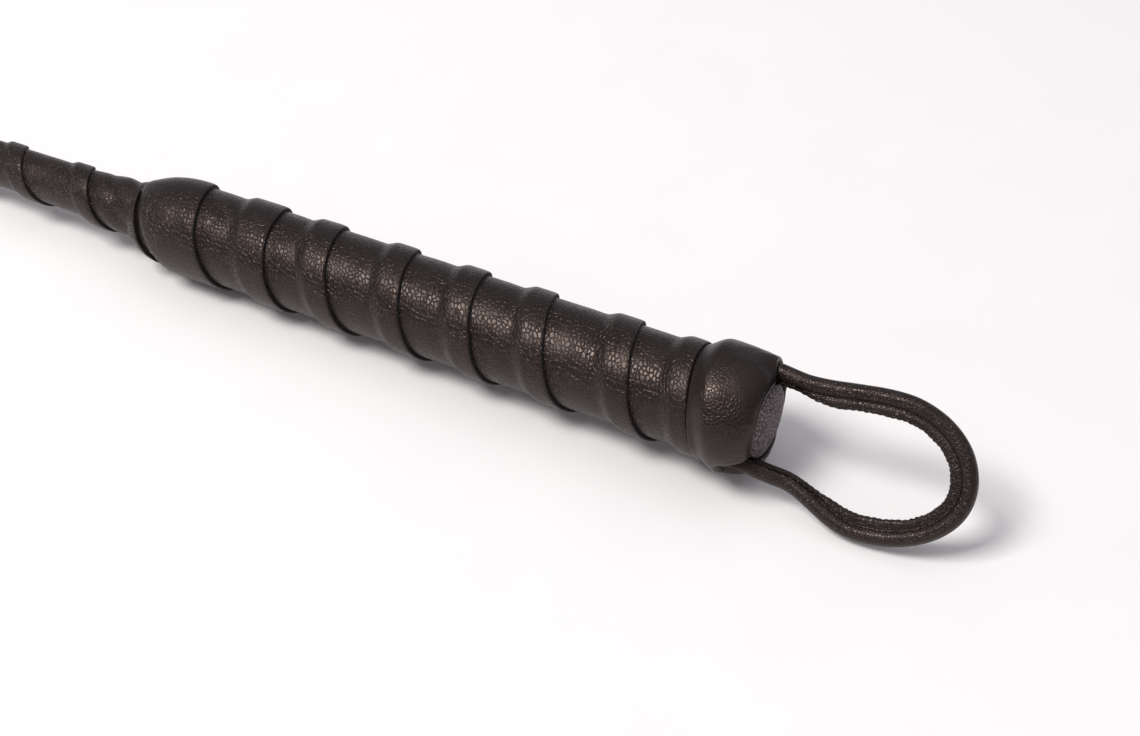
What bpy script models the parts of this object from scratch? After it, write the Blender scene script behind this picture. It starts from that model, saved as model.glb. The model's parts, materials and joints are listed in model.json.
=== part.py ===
"""A leather-wrapped riding crop lying on a table.

Lengths are in millimetres until they are multiplied by MM. The crop is modelled along its own
axis: a point is given as (distance from the butt end, radius), and the empty turning_axis lays
that axis down along world X, with the butt towards +X. The empty crop_rest tilts the crop onto
its knob and the front of its handle, and puts the bottom centre of its box at the origin.
"""
import math

import bmesh
import bpy
from mathutils import Vector

MM = 0.001

# The crop along its axis, from the butt
HANDLE_END = 190.0
SHAFT_END = 600.0
KEEPER_LENGTH = 60.0
WRAP_START = 17.0
TAIL_END = 25.0

# Radii
BUTT_SEAT_RADIUS = 11.7
FRONT_SEAT_RADIUS = 10.9
DOME_SEAT_RADIUS = 7.9
KNOB_RADIUS = 16.8
END_DISC_RADIUS = 9.4
HANDLE_CORE_RADIUS = 9.5
SHAFT_SEAT_RADIUS = 5.5
SHAFT_TIP_SEAT_RADIUS = 2.2
CORE_BUTT_RADIUS = 3.8
CORE_TIP_RADIUS = 1.3

# Leather and clearances
HANDLE_LEATHER = 1.2
SHAFT_LEATHER = 0.9
GAP = 0.3
LAYER_GAP = 0.1

# Winding
HANDLE_PITCH = 22.0
HANDLE_STRIP = 30.5
SHAFT_PITCH = 24.5
SHAFT_STRIP = 31.0
LAP_RAMP = 1.6
STRIP_TAIL = 2.0
FRONT_DOME = 13.0
DOME_POWER = 2.5

# Hanging loop
BEAD_RADIUS = 2.1
LOOP_CORD_RADIUS = 0.75
LOOP_CHANNEL_RADIUS = 1.0
FLANGE_REACH = 4.3
FLANGE_HALF = 1.2
LOOP_ROOT_HALF_WIDTH = 14.8
LOOP_UPPER_WAIST = 13.6
LOOP_LOWER_WAIST = 12.0
LOOP_UPPER_REACH = 15.8
LOOP_LOWER_REACH = 18.0
LOOP_HINGE = 2.4
LOOP_WAIST = 10.0
LOOP_UPPER_WIDEST = 34.0
LOOP_LOWER_WIDEST = 30.0
LOOP_LENGTH = 54.0
LOOP_LEAN = 55.0
SLIT_HALF = 0.1

# Loop ends inside the knob
TAB_WIDTH = 4.2
TAB_THICKNESS = 2.0
TAB_END = 13.6
TACK_STATIONS = (8.0, 11.6)
TACK_RADIUS = 0.5
TACK_HEAD_RADIUS = 1.2

# Keeper
KEEPER_HINGE = SHAFT_END + 3.0
KEEPER_WIDTH = 24.0
KEEPER_NECK_WIDTH = 9.0
KEEPER_LEAF = 1.5
KEEPER_SHOULDER = 14.0
NECK_START = 572.0
THREAD_RADIUS = 0.35
THREAD_PITCH = 0.8
THREAD_TURNS = 20
NECK_INNER_RADIUS = 4.5
NECK_LEATHER = 1.0

TURN_SEGMENTS = 48
HANDLE_SEGMENTS = 20
SHAFT_SEGMENTS = 12

BLACK_LEATHER = (0.012, 0.0105, 0.0098, 1.0)
GRAINED_LEATHER = (0.030, 0.026, 0.029, 1.0)
BEECH = (0.48, 0.31, 0.17, 1.0)
FELT = (0.16, 0.15, 0.14, 1.0)
FIBREGLASS = (0.55, 0.54, 0.46, 1.0)
LINEN = (0.42, 0.36, 0.26, 1.0)
THREAD = (0.010, 0.010, 0.011, 1.0)
STEEL = (0.50, 0.50, 0.51, 1.0)


# ---------------------------------------------------------------- scene and materials

for old in list(bpy.data.objects):
    bpy.data.objects.remove(old, do_unlink=True)

parts = bpy.data.collections.new("riding_crop")
cutters = bpy.data.collections.new("cutters")
bpy.context.scene.collection.children.link(parts)
bpy.context.scene.collection.children.link(cutters)


def finish(obj, colour, roughness, metallic=0.0):
    """Give the object a material of its own."""
    material = bpy.data.materials.new(obj.name)
    material.use_nodes = True
    shader = material.node_tree.nodes["Principled BSDF"]
    shader.inputs["Base Color"].default_value = colour
    shader.inputs["Roughness"].default_value = roughness
    shader.inputs["Metallic"].default_value = metallic
    material.diffuse_color = colour
    obj.data.materials.clear()
    obj.data.materials.append(material)
    return obj


def frame_empty(name, parent=None):
    empty = bpy.data.objects.new(name, None)
    empty.empty_display_size = 0.02
    empty.parent = parent
    parts.objects.link(empty)
    return empty


def add_object(name, data, parent, collection=None):
    obj = bpy.data.objects.new(name, data)
    obj.parent = parent
    (collection or parts).objects.link(obj)
    return obj


def as_cutter(obj):
    """Move an object to the cutters' collection and hide it from renders."""
    for owner in list(obj.users_collection):
        owner.objects.unlink(obj)
    cutters.objects.link(obj)
    obj.hide_render = True
    obj.display_type = "WIRE"
    return obj


def cut(obj, cutter):
    boolean = obj.modifiers.new("cut_" + cutter.name, "BOOLEAN")
    boolean.operation = "DIFFERENCE"
    boolean.solver = "EXACT"
    boolean.object = cutter


# ---------------------------------------------------------------- shapes

def turned(name, profile, parent, closed=False, segments=TURN_SEGMENTS):
    """Turn a profile of (distance from butt, radius) points about the crop's axis.

    A closed profile makes a ring, and an open one starts and ends on the axis.
    """
    area = 0.0
    for (s0, r0), (s1, r1) in zip(profile, profile[1:] + profile[:1]):
        area += r0 * s1 - r1 * s0
    if area > 0.0:
        profile = profile[::-1]
    mesh = bpy.data.meshes.new(name)
    points = [(r * MM, 0.0, s * MM) for s, r in profile]
    edges = [(i, i + 1) for i in range(len(points) - 1)]
    if closed:
        edges.append((len(points) - 1, 0))
    mesh.from_pydata(points, edges, [])
    obj = add_object(name, mesh, parent)
    screw = obj.modifiers.new("turn", "SCREW")
    screw.axis = "Z"
    screw.angle = 2.0 * math.pi
    screw.steps = segments
    screw.render_steps = segments
    screw.use_merge_vertices = True
    screw.merge_threshold = 0.00002
    screw.use_smooth_shade = True
    return obj


def lofted(name, rings, parent, smooth=True):
    """Join rings of points, all of the same count, and cap both ends."""
    mesh = bpy.data.meshes.new(name)
    bm = bmesh.new()
    loops = [[bm.verts.new(Vector(point) * MM) for point in ring] for ring in rings]
    count = len(rings[0])
    for near, far in zip(loops, loops[1:]):
        for i in range(count):
            j = (i + 1) % count
            bm.faces.new((near[i], near[j], far[j], far[i]))
    bm.faces.new(loops[0][::-1])
    bm.faces.new(loops[-1])
    bmesh.ops.recalc_face_normals(bm, faces=bm.faces)
    for face in bm.faces:
        face.smooth = smooth
    bm.to_mesh(mesh)
    bm.free()
    return add_object(name, mesh, parent)


def handle_seat(s):
    """Radius and slope of the surface that the handle's leather is wound on."""
    taper = (FRONT_SEAT_RADIUS - BUTT_SEAT_RADIUS) / (HANDLE_END - WRAP_START)
    radius = BUTT_SEAT_RADIUS + taper * (s - WRAP_START)
    start = HANDLE_END - FRONT_DOME
    if s <= start:
        return radius, taper
    drop = FRONT_SEAT_RADIUS - DOME_SEAT_RADIUS
    u = min((s - start) / FRONT_DOME, 1.0)
    slope = -drop * DOME_POWER * u ** (DOME_POWER - 1.0) / FRONT_DOME
    return radius - drop * u ** DOME_POWER, taper + slope


def shaft_seat(s):
    """Radius and slope of the surface that the shaft's leather is wound on."""
    slope = (SHAFT_TIP_SEAT_RADIUS - SHAFT_SEAT_RADIUS) / (SHAFT_END - HANDLE_END)
    return SHAFT_SEAT_RADIUS + slope * (s - HANDLE_END), slope


def off_seat(seat, s, height):
    """The point (distance from butt, radius) at a height above the seat."""
    radius, slope = seat(s)
    length = math.hypot(1.0, slope)
    return s - height * slope / length, radius + height / length


def wound_strip(name, parent, seat, start, end, pitch, width, leather, segments, shares):
    """A leather strip wound from butt to tip, each turn's butt-side edge over the last turn.

    The strip is trimmed square to the crop at both ends. The shares place the points between
    the lap and the tip-side edge, so that the strip can follow a curved seat.
    """
    first = start + STRIP_TAIL - width / 2.0
    last = end - STRIP_TAIL + width / 2.0
    count = int((last - first) / pitch * segments)
    rings = []
    for i in range(count + 1):
        angle = 2.0 * math.pi * i / segments
        middle = first + pitch * i / segments
        back = max(middle - width / 2.0, start)
        front = min(middle + width / 2.0, end)
        rise = min(max(i - segments + 2, 0) / 2.0, 1.0) * (leather + LAYER_GAP)
        under = middle - pitch + width / 2.0 + GAP
        if under + LAP_RAMP > end - GAP:
            lap, ramp, foot = front - 2.0 * GAP, front - GAP, rise
        else:
            lap = min(max(under, back + GAP), front - 3.0 * GAP)
            ramp, foot = min(lap + LAP_RAMP, front - GAP), 0.0
        bends = [ramp + (front - ramp) * share for share in shares]
        outline = [(back, rise), (lap, rise), (ramp, foot)] + [(s, foot) for s in bends]
        outline += [(s, height + leather) for s, height in reversed(outline)]
        ring = []
        for s, height in outline:
            along, radius = off_seat(seat, s, height)
            ring.append((radius * math.cos(angle), radius * math.sin(angle), along))
        rings.append(ring)
    return lofted(name, rings, parent)


# ---------------------------------------------------------------- shaft

def make_shaft(parent):
    butt = 40.0
    core = turned("shaft_core", [(butt, 0.0), (butt, CORE_BUTT_RADIUS),
                                 (HANDLE_END, CORE_BUTT_RADIUS), (SHAFT_END, CORE_TIP_RADIUS),
                                 (SHAFT_END, 0.0)], parent, segments=32)
    finish(core, FIBREGLASS, 0.45)

    start = HANDLE_END - 10.0
    stop = SHAFT_END - 4.0
    filler = turned("shaft_filler", [(start, shaft_seat(start)[0] - GAP),
                                     (stop, shaft_seat(stop)[0] - GAP),
                                     (stop, CORE_TIP_RADIUS + GAP),
                                     (HANDLE_END, CORE_BUTT_RADIUS + GAP),
                                     (start, CORE_BUTT_RADIUS + GAP)],
                    parent, closed=True, segments=32)
    finish(filler, LINEN, 0.85)

    wrap = wound_strip("shaft_wrap", parent, shaft_seat, start + 2.0, stop, SHAFT_PITCH,
                       SHAFT_STRIP, SHAFT_LEATHER, SHAFT_SEGMENTS, (1.0,))
    finish(wrap, BLACK_LEATHER, 0.42)

    cap_inner = CORE_TIP_RADIUS + 0.15
    cap = turned("tip_cap", [(SHAFT_END + GAP, 0.0), (SHAFT_END + GAP, cap_inner),
                             (stop + GAP, cap_inner), (stop + GAP, cap_inner + 0.6),
                             (SHAFT_END + 0.8, cap_inner + 0.6), (SHAFT_END + 1.4, cap_inner),
                             (SHAFT_END + 1.4, 0.0)], parent, segments=32)
    finish(cap, STEEL, 0.3, 1.0)


# ---------------------------------------------------------------- handle

def make_handle(parent, knob_frame):
    core_end = HANDLE_END - 11.0
    bore = CORE_BUTT_RADIUS + GAP
    core = turned("handle_core", [(3.0, bore), (3.0, HANDLE_CORE_RADIUS - 0.6),
                                  (3.6, HANDLE_CORE_RADIUS), (core_end - 0.6, HANDLE_CORE_RADIUS),
                                  (core_end, HANDLE_CORE_RADIUS - 0.6), (core_end, bore)],
                  knob_frame, closed=True)
    finish(core, BEECH, 0.6)

    plug = turned("bore_plug", [(3.2, 0.0), (3.2, CORE_BUTT_RADIUS), (39.5, CORE_BUTT_RADIUS),
                                (39.5, 0.0)], parent, segments=32)
    finish(plug, BEECH, 0.65)

    rear = TAIL_END + GAP
    front = HANDLE_END - 3.0
    sleeve_inner = 7.9
    outside = [off_seat(handle_seat, rear, -GAP)]
    dome_start = HANDLE_END - FRONT_DOME
    steps = 6
    for i in range(steps + 1):
        s = dome_start + (front - dome_start) * i / steps
        outside.append(off_seat(handle_seat, s, -GAP * (1.0 + 2.0 * i / steps)))
    inside = [(outside[-1][0], sleeve_inner), (core_end + GAP, sleeve_inner),
              (core_end + GAP, HANDLE_CORE_RADIUS + GAP), (rear, HANDLE_CORE_RADIUS + GAP)]
    padding = turned("handle_padding", outside + inside, parent, closed=True)
    finish(padding, FELT, 0.95)

    wrap = wound_strip("handle_wrap", parent, handle_seat, WRAP_START, HANDLE_END, HANDLE_PITCH,
                       HANDLE_STRIP, HANDLE_LEATHER, HANDLE_SEGMENTS, (0.45, 0.65, 0.85, 1.0))
    finish(wrap, BLACK_LEATHER, 0.40)
    return core


# ---------------------------------------------------------------- knob

def oval(centre, reach, height, start, stop, count):
    """Points on part of an ellipse in the (distance from butt, radius) plane, by angle."""
    points = []
    for i in range(count):
        turn = math.radians(start + (stop - start) * i / (count - 1))
        points.append((centre[0] + reach * math.cos(turn), centre[1] + height * math.sin(turn)))
    return points


def knob_profile():
    """The cover's section: a rounded front, the bulge, and a tail under the handle's wrap."""
    bulge = (8.0, 11.7)
    high = KNOB_RADIUS - bulge[1]
    tail = BUTT_SEAT_RADIUS - GAP
    skin = HANDLE_LEATHER
    outside = oval(bulge, 8.4, high, 168.0, 90.0, 9) + oval(bulge, 7.6, high, 80.0, 12.0, 6)
    outside += [(15.7, tail + 0.6), (16.3, tail + 0.1), (WRAP_START, tail), (TAIL_END, tail)]
    inside = oval(bulge, 8.4 - skin, high - skin, 160.0, 90.0, 6)
    inside += oval(bulge, 7.6 - skin, high - skin, 80.0, 20.0, 5)
    inside += [(14.4, tail), (15.1, tail - 0.9), (16.0, tail - skin), (TAIL_END, tail - skin)]
    return outside + inside[::-1]


def make_knob(parent, knob_frame):
    cover = turned("knob_cover", knob_profile(), knob_frame, closed=True)
    finish(cover, BLACK_LEATHER, 0.38)

    inner = HANDLE_CORE_RADIUS + GAP
    buildup = turned("knob_buildup", [(3.4, inner), (3.4, 13.4), (5.0, 14.5), (8.6, 15.2),
                                      (12.0, 14.2), (13.4, 12.4), (13.9, inner)],
                     knob_frame, closed=True)
    finish(buildup, FELT, 0.9)

    pad = turned("end_pad", [(-1.4, 0.0), (-1.4, END_DISC_RADIUS - 0.4),
                             (-1.0, END_DISC_RADIUS), (2.3, END_DISC_RADIUS),
                             (2.7, END_DISC_RADIUS - 0.4), (2.7, 0.0)], parent)
    finish(pad, FELT, 0.95)

    rim = oval((-1.9, END_DISC_RADIUS - 1.3), 1.2, 1.2, 170.0, 90.0, 5)
    disc = turned("end_disc", [(-3.6, 0.0), (-3.5, 4.0)] + rim +
                  [(-1.7, END_DISC_RADIUS - 0.3), (-1.7, 0.0)], parent)
    finish(disc, GRAINED_LEATHER, 0.55)
    return cover, buildup


# ---------------------------------------------------------------- hanging loop

def strap_section():
    """Leather folded round the loop's cord: (outwards, across), from the flange and back."""
    points = [(-FLANGE_REACH, FLANGE_HALF)]
    opening = math.asin(FLANGE_HALF / BEAD_RADIUS)
    steps = 12
    for i in range(steps + 1):
        turn = math.pi - opening - (2.0 * math.pi - 2.0 * opening) * i / steps
        points.append((BEAD_RADIUS * math.cos(turn), BEAD_RADIUS * math.sin(turn)))
    points += [(-FLANGE_REACH, -FLANGE_HALF), (-FLANGE_REACH, -SLIT_HALF)]
    opening = math.asin(SLIT_HALF / LOOP_CHANNEL_RADIUS)
    steps = 10
    for i in range(steps + 1):
        turn = -math.pi + opening + (2.0 * math.pi - 2.0 * opening) * i / steps
        points.append((LOOP_CHANNEL_RADIUS * math.cos(turn), LOOP_CHANNEL_RADIUS * math.sin(turn)))
    points.append((-FLANGE_REACH, SLIT_HALF))
    return points


def loop_path():
    """The bead's centre line from the upper root to the lower one: (sideways, out of the butt)."""
    def swell(low, high, out):
        u = min(max((out - low) / (high - low), 0.0), 1.0)
        return u * u * (3.0 - 2.0 * u)

    def half(waist, widest, reach, bow_middle):
        side = []
        legs = 11
        for i in range(legs):
            out = LOOP_HINGE + (widest - LOOP_HINGE) * i / legs
            place = LOOP_ROOT_HALF_WIDTH
            place += (waist - LOOP_ROOT_HALF_WIDTH) * swell(LOOP_HINGE, LOOP_WAIST, out)
            place += (reach - waist) * swell(LOOP_WAIST, widest, out)
            side.append((place, out))
        bow = 12
        for i in range(bow + 1):
            turn = 0.5 * math.pi * i / bow
            side.append((bow_middle + (reach - bow_middle) * math.cos(turn),
                         widest + (LOOP_LENGTH - widest) * math.sin(turn)))
        return side

    middle = (LOOP_UPPER_REACH - LOOP_LOWER_REACH) / 2.0
    upper = half(LOOP_UPPER_WAIST, LOOP_UPPER_WIDEST, LOOP_UPPER_REACH, middle)
    lower = half(LOOP_LOWER_WAIST, LOOP_LOWER_WIDEST, LOOP_LOWER_REACH, -middle)[:-1]
    return upper + [(-side, out) for side, out in reversed(lower)]


def make_loop(hinge):
    """The moving part of the hanging loop, in the hinge's frame."""
    path = [Vector((side, LOOP_HINGE - out)) for side, out in loop_path()]
    section = strap_section()
    root_steps = (0.45, 1.2, 1.8)
    rings = []

    def ring_at(place, outward, thin):
        return [(place.x + outward.x * e, n * thin, place.y + outward.y * e) for e, n in section]

    def root_rings(place, outward, steps):
        made = []
        for reach in steps:
            thin = math.sqrt(1.0 - ((BEAD_RADIUS - reach) / BEAD_RADIUS) ** 2)
            made.append(ring_at(place + Vector((0.0, BEAD_RADIUS - reach)), outward, thin))
        return made

    for i, place in enumerate(path):
        before = path[max(i - 1, 0)]
        after = path[min(i + 1, len(path) - 1)]
        along = (after - before).normalized()
        outward = Vector((-along.y, along.x))
        if i == 0:
            outward = Vector((1.0, 0.0))
            rings += root_rings(place, outward, root_steps)
        if i == len(path) - 1:
            outward = Vector((-1.0, 0.0))
        rings.append(ring_at(place, outward, 1.0))
    rings += root_rings(path[-1], Vector((-1.0, 0.0)), root_steps[::-1])
    strap = lofted("loop_strap", rings, hinge)
    finish(strap, BLACK_LEATHER, 0.38)

    curve = bpy.data.curves.new("loop_cord", "CURVE")
    curve.dimensions = "3D"
    curve.bevel_depth = LOOP_CORD_RADIUS * MM
    curve.bevel_resolution = 2
    curve.use_fill_caps = True
    spline = curve.splines.new("POLY")
    spline.points.add(len(path) - 1)
    for point, place in zip(spline.points, path):
        point.co = (place.x * MM, 0.0, place.y * MM, 1.0)
    finish(add_object("loop_cord", curve, hinge), LINEN, 0.9)


def tab_rings(clearance):
    """Sections of a loop end: flat under the knob's cover, and full at the mouth."""
    low = HANDLE_CORE_RADIUS + GAP
    mouth = LOOP_ROOT_HALF_WIDTH
    stations = [(0.2 - 3.0 * clearance, mouth - FLANGE_REACH, mouth + 1.4),
                (3.4, mouth - FLANGE_REACH, mouth - 0.8),
                (6.6, low, low + TAB_THICKNESS), (TAB_END, low, low + TAB_THICKNESS)]
    half = TAB_WIDTH / 2.0 + clearance
    rings = []
    for s, inner, outer in stations:
        inner -= clearance
        outer += clearance
        rings.append([(inner, -half, s), (outer, -half, s), (outer, half, s), (inner, half, s)])
    return rings


def make_loop_ends(knob_frame, cover, buildup, core):
    """The loop's two ends, tacked to the core under the knob's cover."""
    low = HANDLE_CORE_RADIUS + GAP
    tack = 1
    for side, turn in (("upper", 0.0), ("lower", math.pi)):
        tab = lofted("loop_tab_" + side, tab_rings(0.0), knob_frame, smooth=False)
        tab.rotation_euler.z = turn
        finish(tab, BLACK_LEATHER, 0.5)
        room = as_cutter(lofted("room_for_tab_" + side, tab_rings(GAP), knob_frame, smooth=False))
        room.rotation_euler.z = turn
        for piece in (cover, buildup):
            cut(piece, room)
        for station in TACK_STATIONS:
            name = "loop_tack_%d" % tack
            head = low + TAB_THICKNESS + 0.15
            profile = [(6.0, 0.0), (7.0, TACK_RADIUS), (head, TACK_RADIUS),
                       (head, TACK_HEAD_RADIUS), (head + 0.35, TACK_HEAD_RADIUS - 0.2),
                       (head + 0.5, 0.0)]
            nail = turned(name, profile, knob_frame, segments=16)
            hole = as_cutter(turned("hole_for_" + name, [(5.6, 0.0), (5.6, TACK_RADIUS + 0.25),
                                                         (head, TACK_RADIUS + 0.25), (head, 0.0)],
                                    knob_frame, segments=16))
            dish = as_cutter(turned("dish_for_" + name, [(head - 0.5, 0.0),
                                                         (head - 0.5, TACK_HEAD_RADIUS + GAP),
                                                         (head + 0.5 + GAP, TACK_HEAD_RADIUS + GAP),
                                                         (head + 0.5 + GAP, 0.0)],
                                    knob_frame, segments=16))
            for piece in (nail, hole, dish):
                piece.rotation_euler = (0.0, math.radians(90.0), turn)
                piece.location.z = station * MM
            cut(tab, hole)
            cut(core, hole)
            cut(buildup, dish)
            finish(nail, STEEL, 0.35, 1.0)
            tack += 1


# ---------------------------------------------------------------- keeper

def make_keeper_neck(parent):
    inner = NECK_INNER_RADIUS
    outer = inner + NECK_LEATHER
    end = SHAFT_END + 1.4
    neck = turned("keeper_neck", [(NECK_START, inner), (NECK_START + 0.4, outer - 0.2),
                                  (NECK_START + 1.4, outer), (end - 0.7, outer), (end, outer - 0.7),
                                  (end, inner)], parent, closed=True, segments=32)
    finish(neck, BLACK_LEATHER, 0.42)

    curve = bpy.data.curves.new("tip_whipping", "CURVE")
    curve.dimensions = "3D"
    curve.bevel_depth = THREAD_RADIUS * MM
    curve.bevel_resolution = 2
    curve.use_fill_caps = True
    steps = 16
    count = THREAD_TURNS * steps
    spline = curve.splines.new("POLY")
    spline.points.add(count)
    radius = outer + GAP + THREAD_RADIUS
    for i, point in enumerate(spline.points):
        turn = 2.0 * math.pi * i / steps
        s = NECK_START + 5.0 + THREAD_PITCH * i / steps
        point.co = (radius * math.cos(turn) * MM, radius * math.sin(turn) * MM, s * MM, 1.0)
    finish(add_object("tip_whipping", curve, parent), THREAD, 0.7)


def make_keeper(hinge):
    """Two leather leaves beyond the tip, in the hinge's frame."""
    half = KEEPER_WIDTH / 2.0
    neck = KEEPER_NECK_WIDTH / 2.0
    side = [(0.0, neck)]
    steps = 6
    for i in range(1, steps + 1):
        u = i / steps
        side.append((KEEPER_SHOULDER * u, neck + (half - neck) * u * u * (3.0 - 2.0 * u)))
    corner = 7.0
    for i in range(steps + 1):
        turn = 0.5 * math.pi * i / steps
        side.append((KEEPER_LENGTH - corner + corner * math.sin(turn),
                     half - corner + corner * math.cos(turn)))
    outline = side + [(s, -y) for s, y in side[::-1]]
    for name, sign in (("keeper_leaf_top", 1.0), ("keeper_leaf_bottom", -1.0)):
        curve = bpy.data.curves.new(name, "CURVE")
        curve.dimensions = "2D"
        curve.fill_mode = "BOTH"
        curve.extrude = KEEPER_LEAF / 2.0 * MM
        spline = curve.splines.new("POLY")
        spline.points.add(len(outline) - 1)
        for point, (s, y) in zip(spline.points, outline):
            point.co = (s * MM, y * MM, 0.0, 1.0)
        spline.use_cyclic_u = True
        leaf = add_object(name, curve, hinge)
        leaf.rotation_euler.y = math.radians(-90.0)
        leaf.location.x = sign * (KEEPER_LEAF + GAP) / 2.0 * MM
        finish(leaf, BLACK_LEATHER, 0.42)


# ---------------------------------------------------------------- assembly

def rest_on_table(rest, knob_frame):
    """Tilt the crop onto its knob and handle front, and roll it until its loop leans over."""
    front_radius = FRONT_SEAT_RADIUS + 2.0 * HANDLE_LEATHER + LAYER_GAP
    tilt = math.atan((KNOB_RADIUS - front_radius) / (HANDLE_END - FRONT_DOME - 8.6))
    rest.rotation_euler.y = -tilt
    knob_frame.rotation_euler.z = math.radians(90.0 - LOOP_LEAN)


def centre_on_origin(rest):
    """Put the bottom centre of the whole crop's box at the origin."""
    bpy.context.view_layer.update()
    depsgraph = bpy.context.evaluated_depsgraph_get()
    low = Vector((1.0, 1.0, 1.0)) * 1000.0
    high = -low
    for obj in parts.objects:
        if obj.type == "EMPTY":
            continue
        evaluated = obj.evaluated_get(depsgraph)
        mesh = evaluated.to_mesh()
        for vertex in mesh.vertices:
            place = obj.matrix_world @ vertex.co
            low = Vector(map(min, low, place))
            high = Vector(map(max, high, place))
        evaluated.to_mesh_clear()
    rest.location -= Vector(((low.x + high.x) / 2.0, (low.y + high.y) / 2.0, low.z))


crop_rest = frame_empty("crop_rest")
turning_axis = frame_empty("turning_axis", crop_rest)
turning_axis.rotation_euler.y = math.radians(-90.0)
knob_axes = frame_empty("knob_axes", turning_axis)
loop_hinge = frame_empty("loop_hinge", knob_axes)
loop_hinge.location.z = -LOOP_HINGE * MM
keeper_hinge = frame_empty("keeper_hinge", turning_axis)
keeper_hinge.location.z = KEEPER_HINGE * MM

make_shaft(turning_axis)
grip_core = make_handle(turning_axis, knob_axes)
knob_pieces = make_knob(knob_axes, knob_axes)
make_loop(loop_hinge)
make_loop_ends(knob_axes, *knob_pieces, grip_core)
make_keeper_neck(turning_axis)
make_keeper(keeper_hinge)
rest_on_table(crop_rest, knob_axes)
centre_on_origin(crop_rest)
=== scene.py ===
import json
import math

import bmesh
import bpy
import numpy as np
from mathutils import Matrix, Vector


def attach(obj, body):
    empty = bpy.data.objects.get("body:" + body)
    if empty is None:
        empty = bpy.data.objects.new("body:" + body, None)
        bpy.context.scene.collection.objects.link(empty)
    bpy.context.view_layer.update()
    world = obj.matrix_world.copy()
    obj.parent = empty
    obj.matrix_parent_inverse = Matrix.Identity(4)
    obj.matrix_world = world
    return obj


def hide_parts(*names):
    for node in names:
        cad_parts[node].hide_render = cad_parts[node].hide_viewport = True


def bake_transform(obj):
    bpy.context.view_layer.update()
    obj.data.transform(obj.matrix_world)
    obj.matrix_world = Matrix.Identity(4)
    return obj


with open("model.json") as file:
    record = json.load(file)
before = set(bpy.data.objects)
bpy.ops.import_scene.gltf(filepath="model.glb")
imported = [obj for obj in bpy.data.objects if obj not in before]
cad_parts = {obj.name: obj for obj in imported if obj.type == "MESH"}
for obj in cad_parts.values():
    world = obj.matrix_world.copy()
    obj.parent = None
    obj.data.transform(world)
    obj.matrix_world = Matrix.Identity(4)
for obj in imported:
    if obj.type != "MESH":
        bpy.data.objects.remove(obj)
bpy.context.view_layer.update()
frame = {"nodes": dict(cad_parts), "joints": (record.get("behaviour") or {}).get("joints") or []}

# A leather-wrapped riding crop on a white table.
#
# Pieces are shaped along the crop's own axis, in millimetres: a place is its distance from the
# butt, its radius, and its turn about the axis, from 0 at the top towards the front. The joints
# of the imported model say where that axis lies.

MM = 0.001

joints = {joint["name"]: joint for joint in frame["joints"]}
loop_root = Vector(joints["loop_swing"]["pos_m"])
keeper_root = Vector(joints["keeper_flex"]["pos_m"])
tipward = (keeper_root - loop_root).normalized()
front = Vector((0.0, -1.0, 0.0))
upward = tipward.cross(front)

LOOP_ROOT_OUT = 2.4
butt = loop_root + tipward * LOOP_ROOT_OUT * MM
crop_axes = Matrix.Translation(butt) @ Matrix((tipward, front, upward)).transposed().to_4x4()
KEEPER_ROOT = (keeper_root - butt).length / MM

# The loop's plane, from its upper root: how much of it is towards the front, and how much up
loop_way = Vector(joints["loop_swing"]["axis"])
LOOP_FRONT = loop_way.dot(front)
LOOP_UP = loop_way.dot(upward)
UPPER_ROOT = math.atan2(LOOP_FRONT, LOOP_UP)
LOWER_ROOT = UPPER_ROOT + math.pi

# Handle: a seat is the radius under the leather, and the front end is domed
HANDLE_START = 17.0
HANDLE_END = 190.0
BUTT_SEAT = 11.7
FRONT_SEAT = 10.9
DOME_DROP = 3.9
DOME_LENGTH = 17.0
DOME_ROUNDNESS = 2.2
HANDLE_LEATHER = 1.2

# The strip is counted in turns from the knob, and each one starts at the top, a little to the
# back. These are where each turn's edge lies, and how far it laps over the turn before it. The
# last turn laps so far that the dome is covered twice.
FAR_TOP = math.radians(-40.0)
TURN_EDGES = (18.0, 36.5, 61.5, 82.0, 104.0, 127.0, 146.5, 171.0, 193.0, 216.0)
LAP_WIDTHS = (6.4, 8.5, 8.0, 8.0, 8.0, 9.0, 12.0, 23.0, 24.0, 24.0)
LAST_TURN = 7.86

# The first turn ends against the knob, along a ring that leans across the crop
WAIST_MIDDLE = 14.8
WAIST_LEAN = 3.2

# Knob: its widest ring lies KNOB_BACK from the waist, and its cover runs on under the strip
KNOB_RADIUS = 16.8
KNOB_BACK = 5.8
WAIST_RADIUS = 13.7
TAIL_RADIUS = 12.8
TAIL_END = 24.5
RIM_RADIUS = 12.2
RIM_OUT = 2.6
COVER_LEATHER = 1.3

# Where the cover's rim is set back and spread: over the loop's upper root, and at its lower one
FLAP_BACK = 1.9
FLAP_SPREAD = 3.9
NOTCH_BACK = 7.2
NOTCH_SPREAD = 2.0

# End disc
DISC_RADIUS = 9.6
DISC_EDGE = -1.9
DISC_DOME = 2.1

# Shaft, which is thicker beside the handle, where its leather is bunched
SHAFT_SEAT = 5.5
SHAFT_TIP_SEAT = 2.2
SHAFT_END = 600.0
SHAFT_WRAP_END = SHAFT_END - 4.0
SHAFT_BUNCHED = 0.6
SHAFT_LEATHER = 0.9
SHAFT_FIRST_EDGE = 213.0
SHAFT_PITCH = 24.5
SHAFT_LAP = 6.5

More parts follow.
